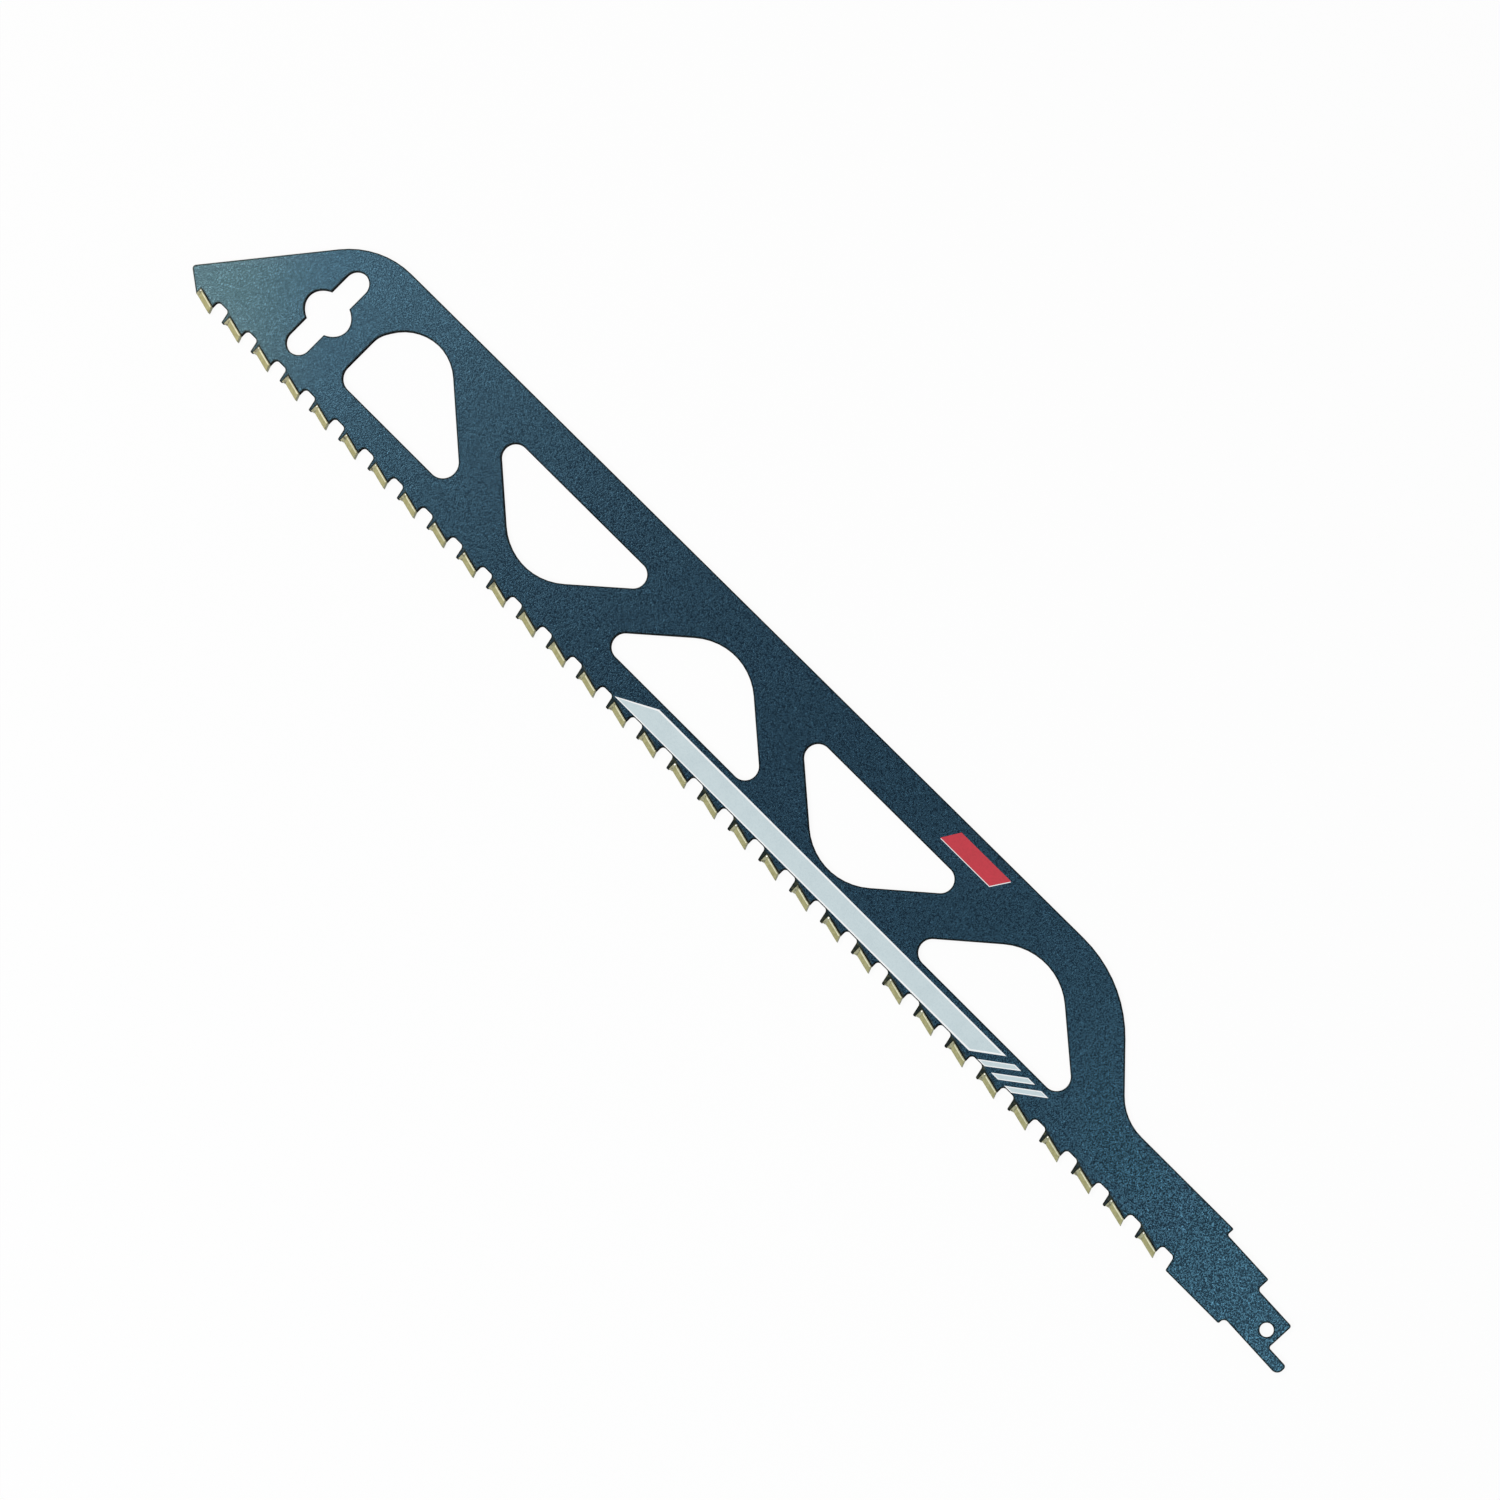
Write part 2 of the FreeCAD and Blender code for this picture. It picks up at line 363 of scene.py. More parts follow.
    def surface(self, values: dict) -> bpy.types.Material:
        """Ends the board with one Principled shader.

        Args:
            values: the shader's values and links.

        Returns:
            The finished material.
        """
        shader = self.add("BsdfPrincipled", None, values)
        self.add("OutputMaterial", None, {"Surface": shader.outputs[0]})
        return self.owner


def new_board(name: str) -> Board:
    """A new material's board."""
    return Board(bpy.data.materials.new(name))


@dataclass(frozen=True)
class ToothRow:
    """Where the tips are, read from the frame, in metres.

    Args:
        last: cutting point nearest the shank, along the blade.
        pitch: from one cutting point to the next.
        depth: height of the cutting points across the blade, below zero.
        names: the tips' nodes from the nose to the shank.
        seat_rise: height of a seat above its cutting point, level with that point.
        seat_slope: how much a seat rises towards the nose, as a share.
        seat_front: a seat's front end, behind the cutting point.
        post_inner: the guard post's inner wall, behind the cutting point.
        post_outer: the guard post's outer wall, behind the cutting point.
    """

    last: float
    pitch: float
    depth: float
    names: tuple[str, ...]
    seat_rise: float = 1.92 * MM
    seat_slope: float = 0.24
    seat_front: float = 0.55 * MM
    post_inner: float = 6.99 * MM
    post_outer: float = 8.7 * MM

    @classmethod
    def from_frame(cls) -> "ToothRow":
        """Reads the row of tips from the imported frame.

        Returns:
            The row.
        """
        names = tuple(sorted(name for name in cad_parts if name.startswith("carbide_tip_")))
        places = [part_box(name)[1].x for name in names]
        pitch = (places[-1] - places[0]) / (len(places) - 1)
        return cls(places[-1], pitch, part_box(names[0])[0].y, names)

    def points(self) -> list[float]:
        """The cutting points along the blade, from the shank to the nose."""
        return [self.last - n * self.pitch for n in range(len(self.names))]

    def seat(self, behind: Value | float) -> Value | float:
        """Height of a seat across the blade, at a place behind its cutting point."""
        return behind * self.seat_slope + (self.depth + self.seat_rise)


@dataclass(frozen=True)
class BurntPaint:
    """Paint that the brazing burnt, along each seat and all over the post behind it.

    Args:
        scale: its colours, from fully burnt to scorched, as (place, colour) pairs.
        patch_size: size of a patch of one colour, in metres.
        reach: how far it reaches above the seats, in metres.
        waver: how far that limit wanders, in metres.
        waver_size: length of one swell of that limit, in metres.
        past_post: where it starts and where it is full, from a post's outer wall, in metres.
        past_row: the same, from the cutting point nearest the shank.
        past_nose: how soon it is full from the post nearest the nose, in metres.
        strength: how strong the mask is at the shank's end of the row, from 0 to 1.
        gain: how much stronger it is further along.
        gain_teeth: teeth from the one nearest the shank between which that grows.
        loss: how much weaker it is at the nose.
        loss_teeth: teeth from the same one between which that grows.
    """

    scale: tuple[tuple[float, Colour], ...] = ((0.30, (0.006, 0.010, 0.011)),
                                               (0.55, (0.015, 0.018, 0.011)),
                                               (0.75, (0.070, 0.070, 0.038)))
    patch_size: float = 1.2 * MM
    reach: float = 1.1 * MM
    waver: float = 1.0 * MM
    waver_size: float = 2.5 * MM
    past_post: Limits = (1.2 * MM, -0.2 * MM)
    past_row: Limits = (1.0 * MM, -0.5 * MM)
    past_nose: float = 0.8 * MM
    strength: float = 0.5
    gain: float = 0.4
    gain_teeth: Limits = (-1, 6)
    loss: float = 0.75
    loss_teeth: Limits = (14, 26)

    def colour(self, board: Board) -> bpy.types.NodeSocket:
        """The burnt paint's patchy colour."""
        return board.ramp(board.grain(self.patch_size), self.scale)

    def mask(self, board: Board, row: ToothRow) -> Value:
        """Where the paint is burnt.

        Args:
            board: the paint's board.
            row: where the tips are.

        Returns:
            A mask from 0 to 1.
        """
        place = board.along(Axis.ALONG)
        behind = (row.last - place).remainder(row.pitch)
        uneven = (board.grain(self.waver_size) - 0.5) * self.waver
        above = board.along(Axis.ACROSS) - row.seat(behind) + uneven
        beside = behind.fade(*(row.post_outer + past for past in self.past_post))
        on_row = place.fade(*(row.last + past for past in self.past_row))
        last_post = row.points()[-1] - row.post_inner
        from_nose = place.fade(last_post, last_post + self.past_nose)
        gain = place.fade(*(row.last - teeth * row.pitch for teeth in self.gain_teeth))
        loss = place.fade(*(row.last - teeth * row.pitch for teeth in self.loss_teeth))
        strength = gain * self.gain - loss * self.loss + self.strength
        return above.fade(self.reach, 0.0) * beside * on_row * from_nose * strength


@dataclass(frozen=True)
class FlakePaint:
    """Satin metallic paint, burnt dark beside the brazed teeth, and paler at the nose, where a painted
    highlight stands in for the lamps' reflection.

    Args:
        name: the material's name.
        deep: colour in the hollows of the flake.
        light: colour where flakes catch light.
        thin_deep: the same as deep at the nose, made paler by a painted highlight that stands in for the
            lamps' reflection there.
        thin_light: the same as light at the nose, with the same painted highlight.
        flake_size: size of a speck, in metres.
        flake_share: size of a bright flake, as a share of a speck's.
        speck_limits: noise between which a speck goes from dark to light.
        flake_limits: cell values between which a flake goes from dull to bright.
        cloud_size: size of a cloud in the paint, in metres.
        speck_weight: how much the specks change the colour.
        flake_weight: how much the flakes change it.
        cloud_weight: how much the clouds change it.
        level: the colour's place between deep and light without these.
        contrast: how strongly specks and flakes show over most of the blade.
        shank_glint_contrast: how much more strongly they show at the shank, as painted glints that stand in
            for the lamps' sparkle there.
        shank_glint_span: where those painted glints begin and where they are full, along the blade, in
            metres.
        nose_highlight_span: where the painted highlight begins and where it is strongest, from the nose tip,
            in metres.
        nose_highlight_tilt: how far the painted highlight's limit leans towards the teeth, as a share.
        edge_tint: colour that the paint keeps where light skims over it.
        burnt: the burnt paint.
    """

    name: str = "flake_paint"
    deep: Colour = (0.0060, 0.0152, 0.0270)
    light: Colour = (0.0150, 0.0395, 0.0680)
    thin_deep: Colour = (0.0090, 0.0200, 0.0290)
    thin_light: Colour = (0.0260, 0.0550, 0.0790)
    flake_size: float = 0.44 * MM
    flake_share: float = 0.9
    speck_limits: Limits = (0.38, 0.62)
    flake_limits: Limits = (0.84, 0.98)
    cloud_size: float = 22 * MM
    speck_weight: float = 0.55
    flake_weight: float = 0.60
    cloud_weight: float = 0.16
    level: float = 0.29
    contrast: float = 1.15
    shank_glint_contrast: float = 1.3
    shank_glint_span: Limits = (-110.0 * MM, -40.0 * MM)
    nose_highlight_span: Limits = (60.0 * MM, 12.0 * MM)
    nose_highlight_tilt: float = 0.9
    edge_tint: Colour = (0.42, 0.64, 0.80)
    burnt: BurntPaint = BurntPaint()

    @classmethod
    def along_edges(cls) -> "FlakePaint":
        """The darker paint along every edge of a face."""
        return cls("rim_paint", deep=(0.0020, 0.0040, 0.0055), light=(0.0060, 0.0120, 0.0160),
                   thin_deep=(0.0040, 0.0070, 0.0080), thin_light=(0.0120, 0.0190, 0.0230))

    def material(self, row: ToothRow) -> bpy.types.Material:
        """Makes the paint.

        Args:
            row: where the tips are.

        Returns:
            The paint's material.
        """
        board = new_board(self.name)
        speck = board.grain(self.flake_size).fade(*self.speck_limits)
        flake = board.cells(self.flake_size * self.flake_share).fade(*self.flake_limits)
        cloud = board.grain(self.cloud_size, detail=3.0)
        # Painted glints: specks and flakes get more contrast towards the shank, standing in for the lamps'
        # sparkle there.
        contrast = board.along(Axis.ALONG).fade(*self.shank_glint_span) * self.shank_glint_contrast + self.contrast
        specks = (speck - 0.5) * contrast * self.speck_weight
        flakes = flake * contrast * self.flake_weight
        amount = specks + flakes + cloud * self.cloud_weight + self.level
        # Painted highlight: towards the nose the paint is mixed to paler colours, standing in for the lamps'
        # reflection there; thin is that mask.
        leaning = board.along(Axis.ALONG) + board.along(Axis.ACROSS) * self.nose_highlight_tilt
        thin = leaning.fade(*(cad_box[0].x + place for place in self.nose_highlight_span))
        paint = board.mix(thin, board.mix(amount, self.deep, self.light),
                          board.mix(amount, self.thin_deep, self.thin_light))
        burn = self.burnt.mask(board, row)
        return board.surface({
            "Base Color": board.mix(burn, paint, self.burnt.colour(board)),
            "Roughness": 0.18 + 0.05 * speck + 0.40 * burn,
            "Metallic": 0.92 - 0.8 * burn,
            "Specular IOR Level": 0.1,
            "Specular Tint": (*self.edge_tint, 1.0),
            "Normal": board.bump(speck + 0.5 * flake, strength=0.8, distance=0.020 * MM),
        })


@dataclass(frozen=True)
class CutEdge:
    """The cut walls of the plate: dark scale with fine streaks square to the faces.

    Args:
        dark: main colour.
        warm: colour of the warmer streaks.
        streak_size: width of a streak, in metres.
        streak_stretch: how much denser the streaks are along each axis.
        streak_limits: noise between which a streak goes from dark to warm.
    """

    dark: Colour = (0.006, 0.006, 0.007)
    warm: Colour = (0.034, 0.024, 0.020)
    streak_size: float = 0.25 * MM
    streak_stretch: Point = (1.0, 1.0, 0.12)
    streak_limits: Limits = (0.4, 0.75)

    def material(self) -> bpy.types.Material:
        """Makes the cut edge.

        Returns:
            The walls' material.
        """
        board = new_board("cut_edge")
        streak = board.grain(self.streak_size, detail=1.0, stretch=self.streak_stretch)
        return board.surface({
            "Base Color": board.mix(streak.fade(*self.streak_limits), self.dark, self.warm),
            "Roughness": 0.50 + 0.15 * streak,
            "Specular IOR Level": 0.0,
            "Normal": board.bump(streak, strength=0.3, distance=0.02 * MM),
        })


@dataclass(frozen=True)
class GoldCarbide:
    """Ground sintered carbide with a pale gold bloom.

    Args:
        name: the material's name.
        low: colour in the darker grain.
        high: colour in the lighter grain.
        patch_size: size of a patch of the bloom, in metres.
        patch_limits: noise between which a patch goes from dark to light.
        scratch_size: width of a grinding scratch, in metres.
        scratch_stretch: how much denser the scratches are along each axis.
        scratch_weight: share of the colour that the scratches give, the rest being the patches'.
    """

    name: str
    low: Colour
    high: Colour
    patch_size: float = 0.7 * MM
    patch_limits: Limits = (0.3, 0.7)
    scratch_size: float = 0.12 * MM
    scratch_stretch: Point = (0.15, 1.0, 1.0)
    scratch_weight: float = 0.3

    def material(self) -> bpy.types.Material:
        """Makes the carbide.

        Returns:
            The carbide's material.
        """
        board = new_board(self.name)
        patch = board.grain(self.patch_size, detail=3.0).fade(*self.patch_limits)
        scratch = board.grain(self.scratch_size, detail=1.0, stretch=self.scratch_stretch)
        amount = patch * (1 - self.scratch_weight) + scratch * self.scratch_weight
        return board.surface({
            "Base Color": board.mix(amount, self.low, self.high),
            "Roughness": 0.34 + 0.2 * scratch,
            "Metallic": 0.15,
            "Specular IOR Level": 0.3,
            "Normal": board.bump(scratch, strength=0.15, distance=0.01 * MM),
        })


@dataclass(frozen=True)
class BrazeMetal:
    """Brazing metal as it froze, with olive and brown flux stains; the same finish, near-black, gives the
    bead its painted shadow.

    Args:
        name: the material's name.
        pale: colour of the clean metal.
        stained: colour of the stains.
        metallic: how metallic it is, from 0 to 1; it is 0 on the near-black bead, whose colour is painted
            shadow.
        stain_size: size of a stain, in metres.
        stain_limits: noise between which the metal goes from clean to stained.
    """

    name: str
    pale: Colour
    stained: Colour
    metallic: float
    stain_size: float = 0.8 * MM
    stain_limits: Limits = (0.46, 0.7)

    def material(self) -> bpy.types.Material:
        """Makes the brazing metal.

        Returns:
            The brazing metal's material.
        """
        board = new_board(self.name)
        stain = board.grain(self.stain_size, detail=3.0)
        return board.surface({
            "Base Color": board.mix(stain.fade(*self.stain_limits), self.pale, self.stained),
            "Roughness": 0.36 + 0.25 * stain,
            "Metallic": self.metallic,
            "Specular IOR Level": 0.4 * self.metallic,
            "Normal": board.bump(stain, strength=0.4, distance=0.04 * MM),
        })


@dataclass(frozen=True)
class ScreenInk:
    """Screen-printed ink with a fine mesh texture.

    Args:
        name: the material's name.
        colour: the ink's colour.
        thin: its colour where the film is thin.
        mesh_size: size of the mesh texture, in metres.
        mesh_limits: noise between which the mesh goes from full to thin.
        wear_size: size of a worn patch, in metres.
        wear_limits: noise between which a patch goes from full to worn.
        wear_weight: share of the colour that the wear gives, the rest being the mesh's.
    """

    name: str
    colour: Colour
    thin: Colour
    mesh_size: float = 0.5 * MM
    mesh_limits: Limits = (0.35, 0.8)
    wear_size: float = 6 * MM
    wear_limits: Limits = (0.35, 0.75)
    wear_weight: float = 0.4

    def material(self) -> bpy.types.Material:
        """Makes the ink.

        Returns:
            The ink's material.
        """
        board = new_board(self.name)
        mesh = board.grain(self.mesh_size)
        wear = board.grain(self.wear_size, detail=3.0).fade(*self.wear_limits)
        amount = mesh.fade(*self.mesh_limits) * (1 - self.wear_weight) + wear * self.wear_weight
        return board.surface({
            "Base Color": board.mix(amount, self.colour, self.thin),
            "Roughness": 0.42 + 0.12 * mesh,
            "Specular IOR Level": 0.35,
            "Normal": board.bump(mesh, strength=0.1, distance=0.008 * MM),
        })


class Ink(Enum):
    """The inks of the printed face."""

    WHITE = ScreenInk("white_ink", (0.97, 0.98, 0.98), (0.92, 0.94, 0.95))
    SILVER = ScreenInk("silver_ink", (0.60, 0.71, 0.745), (0.53, 0.64, 0.68))
    RED = ScreenInk("red_ink", (0.55, 0.018, 0.044), (0.44, 0.016, 0.036))


def shift_ring(ring: Ring, distance: float) -> Ring:
    """Moves each side of a closed ring to its left, and mitres the corners.

    Args:
        ring: the ring's points, in order.
        distance: how far each side moves.

    Returns:
        The moved ring, with a point for each point of the first.
    """
    moved = []
    for n, here in enumerate(ring):
        before = (here - ring[n - 1]).normalized()
        after = (ring[(n + 1) % len(ring)] - here).normalized()
        left = Vector((-before.y - after.y, before.x + after.x, 0.0))
        share = 1.0 + before.dot(after)
        moved.append(here + left * (distance / max(share, LEAST_DIVISOR)))
    return moved


def new_object(name: str, data: bpy.types.ID) -> bpy.types.Object:
    """Puts some data in the scene.

    Args:
        name: the object's name.
        data: the mesh, lamp or camera that it shows.

    Returns:
        The new object.
    """
    thing = bpy.data.objects.new(name, data)
    bpy.context.scene.collection.objects.link(thing)
    return thing


def add_piece(name: str, mesh: bpy.types.Mesh) -> bpy.types.Object:
    """Puts a mesh in the scene as a piece that rides on the blade.

    Args:
        name: the piece's name.
        mesh: its mesh, in the row frame.

    Returns:
        The new piece.
    """
    piece = new_object(name, mesh)
    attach(piece, "root")
    LOG.info("%s: %d faces", name, len(mesh.polygons))
    return piece


def finished_mesh(shape: bmesh.types.BMesh, name: str, finishes: list[bpy.types.Material]) -> bpy.types.Mesh:
    """Turns a shape into a mesh with its finishes.

    Args:
        shape: the shape, which is freed.
        name: the mesh's name.
        finishes: its materials, in the order of the faces' material numbers.

    Returns:
        The new mesh.
    """
    mesh = bpy.data.meshes.new(name)
    shape.to_mesh(mesh)
    shape.free()
    for finish in finishes:
        mesh.materials.append(finish)
    return mesh


def node_shape(node: str) -> bmesh.types.BMesh:
    """A copy of a CAD node's mesh with its shared points joined.

    Args:
        node: the node's name.

    Returns:
        The copied shape.
    """
    shape = bmesh.new()
    shape.from_mesh(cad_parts[node].data)
    bmesh.ops.remove_doubles(shape, verts=shape.verts, dist=SAME_POINT)
    shape.normal_update()
    return shape


@dataclass
class Plate:
    """The steel plate with its edges broken, built on the outline of the CAD plate.

    Args:
        row: where the tips are.
        node: the CAD node that it stands for.
        edge_break: how far the broken edge reaches in from the wall and down from the face, in metres.
        edge_steps: flat steps round a broken edge.
        thin_rim: width of the darker paint along every edge of a face, in metres.
    """

    row: ToothRow
    node: str = "blade_body"
    edge_break: float = 0.10 * MM
    edge_steps: int = 2
    thin_rim: float = 0.30 * MM

    def rings(self) -> list[Ring]:
        """The outline and the openings of the upper face, each with the steel on its left.

        Returns:
            One closed ring of points for each.
        """
        shape = node_shape(self.node)
        following = {}
        for face in shape.faces:
            if face.normal.z > FLAT_SHARE:
                for loop in face.loops:
                    beyond = [other for other in loop.edge.link_faces if other != face]
                    if all(abs(other.normal.z) < WALL_SHARE for other in beyond):
                        following[loop.vert] = loop.link_loop_next.vert
        rings = []
        while following:
            start = here = next(iter(following))
            ring = []
            while here in following:
                ring.append(here.co.copy())
                here = following.pop(here)
            assert here == start, "an outline is open"
            rings.append(ring)
        shape.free()
        return rings

    def profile(self, half: float) -> list[Place]:
        """Section of the wall from the lower face to the upper one, as (inset, height) pairs.

        Args:
            half: half of the plate's thickness.

        Returns:
            The section's points.
        """
        upper = []
        for n in range(self.edge_steps + 1):
            angle = math.pi / 2 * n / self.edge_steps
            inset = self.edge_break * (1 - math.cos(angle))
            upper.append((inset, half - self.edge_break * (1 - math.sin(angle))))
        upper.append((self.edge_break + self.thin_rim, half))
        lower = [(inset, -height) for inset, height in reversed(upper)]
        return lower + upper

    def build(self) -> bpy.types.Object:
        """Builds the plate.

        Returns:
            The plate.
        """
        paint = FlakePaint().material(self.row)
        rim_paint = FlakePaint.along_edges().material(self.row)
        edge = CutEdge().material()
        shape = bmesh.new()
        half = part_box(self.node)[1].z
        section = self.profile(half)
        rims = ([], [])
        for ring in self.rings():
            layers = []
            for inset, height in section:
                points = shift_ring(ring, inset)
                layers.append([shape.verts.new((point.x, point.y, height)) for point in points])
            self._wall(shape, layers)
            for rim, layer in zip(rims, (layers[0], layers[-1])):
                rim += [shape.edges.get((layer[n - 1], layer[n])) for n in range(len(layer))]
        for rim, up in zip(rims, (-1.0, 1.0)):
            filled = bmesh.ops.triangle_fill(shape, use_beauty=True, edges=rim, normal=(0.0, 0.0, up))
            for face in filled["geom"]:
                if isinstance(face, bmesh.types.BMFace):
                    face.material_index = PlateFinish.FACE
        self._finish_faces(shape, half)
        piece = add_piece("plate", finished_mesh(shape, "plate", [edge, rim_paint, paint]))
        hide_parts(self.node)
        return piece

    @staticmethod
    def _wall(shape: bmesh.types.BMesh, layers: list[list[bmesh.types.BMVert]]) -> None:
        """Joins the layers of one ring with faces.

        Args:
            shape: the plate's shape.
            layers: the ring's points at each height, from the lowest.
        """
        for lower, upper in zip(layers, layers[1:]):
            for n in range(len(lower)):
                shape.faces.new((lower[n - 1], lower[n], upper[n], upper[n - 1]))

    @staticmethod
    def _finish_faces(shape: bmesh.types.BMesh, half: float) -> None:
        """Turns the faces outward, and tells the flat rims from the walls.

        Args:
            shape: the plate's shape.
            half: half of the plate's thickness.
        """
        bmesh.ops.recalc_face_normals(shape, faces=shape.faces)
        for face in shape.faces:
            flat = all(abs(abs(vert.co.z) - half) < SAME_LEVEL for vert in face.verts)
            face.smooth = not flat
            if flat and face.material_index == PlateFinish.WALL:
                face.material_index = PlateFinish.RIM
        for edge in shape.edges:
            meets_flat = len({face.smooth for face in edge.link_faces}) == 2
            if meets_flat or edge.calc_face_angle(0.0) > CREASE_ANGLE:
                edge.smooth = False


@dataclass
class CarbideTips:
    """The brazed tips, each with broken edges and a bright border beside its seat on both sides.

    Args:
        row: where the tips are.
        edge_break: how far the broken edges reach, in metres.
        border: width of the bright border, in metres.
        border_reach: how far below the seat the middle of a bright part of the border may be, in metres.
    """

    row: ToothRow
    edge_break: float = 0.05 * MM
    border: float = 0.33 * MM
    border_reach: float = 0.66 * MM

    def build(self) -> list[bpy.types.Object]:
        """Builds every tip.

        Returns:
            The tips from the nose to the shank.
        """
        field = GoldCarbide("carbide_field", low=(0.244, 0.239, 0.103), high=(0.361, 0.357, 0.188))
        border = GoldCarbide("carbide_border", low=(0.52, 0.53, 0.37), high=(0.72, 0.73, 0.56))
        finishes = [field.material(), border.material()]
        return [self._tip(name, finishes) for name in self.row.names]

    def _tip(self, node: str, finishes: list[bpy.types.Material]) -> bpy.types.Object:
        """Builds one tip.

        Args:
            node: the CAD tip that it stands for.
            finishes: the field's and the border's materials.

        Returns:
            The tip.
        """
        shape = node_shape(node)
        bmesh.ops.dissolve_limit(shape, angle_limit=LEVEL_ANGLE, verts=shape.verts, edges=shape.edges)
        bmesh.ops.bevel(shape, geom=shape.edges, offset=self.edge_break, segments=1, affect="EDGES")
        sides = [face for face in shape.faces if abs(face.normal.z) > FLAT_SHARE]
        rim = bmesh.ops.inset_individual(shape, faces=sides, thickness=self.border, use_even_offset=True)
        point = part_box(node)[1].x
        for face in rim["faces"]:
            middle = face.calc_center_median()
            if self.row.seat(point - middle.x) - middle.y < self.border_reach:
                face.material_index = TipFinish.BORDER
        mesh = finished_mesh(shape, node, finishes)
        piece = add_piece(node.replace("carbide_tip", "tip"), mesh)
        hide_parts(node)
        return piece


@dataclass
class BrazeBeads:
    """The brazing metal: the CAD filler with a rough near-black bead on each face, whose colour is painted
    shadow along the tip's edge, and a drop behind each tip.

    Args:
        row: where the tips are.
        node: the CAD node that it stands for.
        plate_node: the CAD node of the plate, whose faces the beads and drops are on.
        bead_radius: radius of the bead along a seat, in metres.
        bead_rise: how far the bead's middle is above the seat, in metres.
        bead_steps: stations along a bead.
        bead_sides: sides of a bead.
        end_area: area of a bead's section at its ends, as a share of the area at its middle.
        proud: height of a bead or drop, as a share of its radius.
        wander: how far a radius wanders, as a share.
        wander_size: length of one swell of a bead, in metres.
        drop_radius: radius of the drop at the top of a pool, in metres.
        drop_below: the drop's middle below the seat, in metres.
        drop_splits: how often the drop's faces are split.
    """

    row: ToothRow
    node: str = "braze_filler"
    plate_node: str = "blade_body"
    bead_radius: float = 0.24 * MM
    bead_rise: float = 0.12 * MM
    bead_steps: int = 14
    bead_sides: int = 8
    end_area: float = 0.02
    proud: float = 0.7
    wander: float = 0.45
    wander_size: float = 1.1 * MM
    drop_radius: float = 0.34 * MM
    drop_below: float = 0.30 * MM
    drop_splits: int = 2

    def build(self) -> bpy.types.Object:
        """Builds the brazing metal.

        Returns:
            The brazing metal, one piece for the whole row.
        """
        shape = node_shape(self.node)
        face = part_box(self.plate_node)[1].z
        for point in self.row.points():
            for height in (-face, face):
                self._bead(shape, point, height)
                self._drop(shape, point, height)
        metals = (BrazeMetal("pool_metal", (0.215, 0.222, 0.152), (0.08, 0.078, 0.054), metallic=0.6),
                  # The bead's near-black is painted shadow: the dark line that the tip's raised edge casts on
                  # the plate.
                  BrazeMetal("bead_metal", (0.012, 0.012, 0.010), (0.005, 0.005, 0.005), metallic=0.0),
                  BrazeMetal("drop_metal", (0.93, 0.94, 0.90), (0.72, 0.73, 0.66), metallic=0.4))
        finishes = [metal.material() for metal in metals]
        piece = add_piece("brazing", finished_mesh(shape, "brazing", finishes))
        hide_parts(self.node)
        return piece

    def _wandering(self, radius: float, place: Vector) -> float:
        """A radius made a little larger or smaller, by where it is."""
        return radius * (1 + self.wander * noise.noise(place / self.wander_size))

    def _bead(self, shape: bmesh.types.BMesh, point: float, height: float) -> None:
        """Adds the bead along one seat on one face of the plate; its near-black finish is painted shadow.

        Args:
            shape: the shape to add to.
            point: the tip's cutting point, along the blade.
            height: the face's height.
        """
        length = self.row.post_inner - self.row.seat_front
        layers = []
        for step in range(self.bead_steps + 1):
            share = step / self.bead_steps
            behind = self.row.seat_front + length * share
            middle = Vector((point - behind, self.row.seat(behind) + self.bead_rise, height))
            taper = math.sqrt(max(self.end_area, math.sin(math.pi * share)))
            radius = self._wandering(self.bead_radius, middle) * taper
            layer = []
            for corner in range(self.bead_sides):
                angle = 2 * math.pi * corner / self.bead_sides
                out = Vector((0.0, math.cos(angle), self.proud * math.sin(angle))) * radius
                layer.append(shape.verts.new(middle + out))
            layers.append(layer)
        faces = [shape.faces.new(layers[0]), shape.faces.new(layers[-1])]
        for first, second in zip(layers, layers[1:]):
            for corner in range(self.bead_sides):
                corners = (first[corner - 1], first[corner], second[corner], second[corner - 1])
                faces.append(shape.faces.new(corners))
        for face in faces:
            face.smooth = True
            face.material_index = BrazeFinish.BEAD

    def _drop(self, shape: bmesh.types.BMesh, point: float, height: float) -> None:
        """Adds the drop at the top of the pool behind one tip, on one face of the plate.

        Args:
            shape: the shape to add to.
            point: the tip's cutting point, along the blade.
            height: the face's height.
        """
        behind = self.row.post_inner - self.drop_radius
        middle = Vector((point - behind, self.row.seat(behind) - self.drop_below, height))
        drop = bmesh.ops.create_icosphere(shape, subdivisions=self.drop_splits, radius=self.drop_radius)
        for vert in drop["verts"]:
            radius = self._wandering(1.0, middle + vert.co)
            vert.co = middle + Vector((vert.co.x, vert.co.y, vert.co.z * self.proud)) * radius
            for face in vert.link_faces:
                face.smooth = True
                face.material_index = BrazeFinish.DROP


@dataclass(frozen=True)
class Patch:
    """One printed field.

    Args:
        name: the piece's name.
        corners: (along, across) places of its corners in mm, the steel's face on their left.
        ink: the ink that shows.
        border: width of the white border that shows round it, in mm.
        slip: how far its white underprint is out of register, in mm.
    """

    name: str
    corners: tuple[Place, ...]
    ink: Ink
    border: float = 0.0
    slip: Place = (0.0, 0.0)


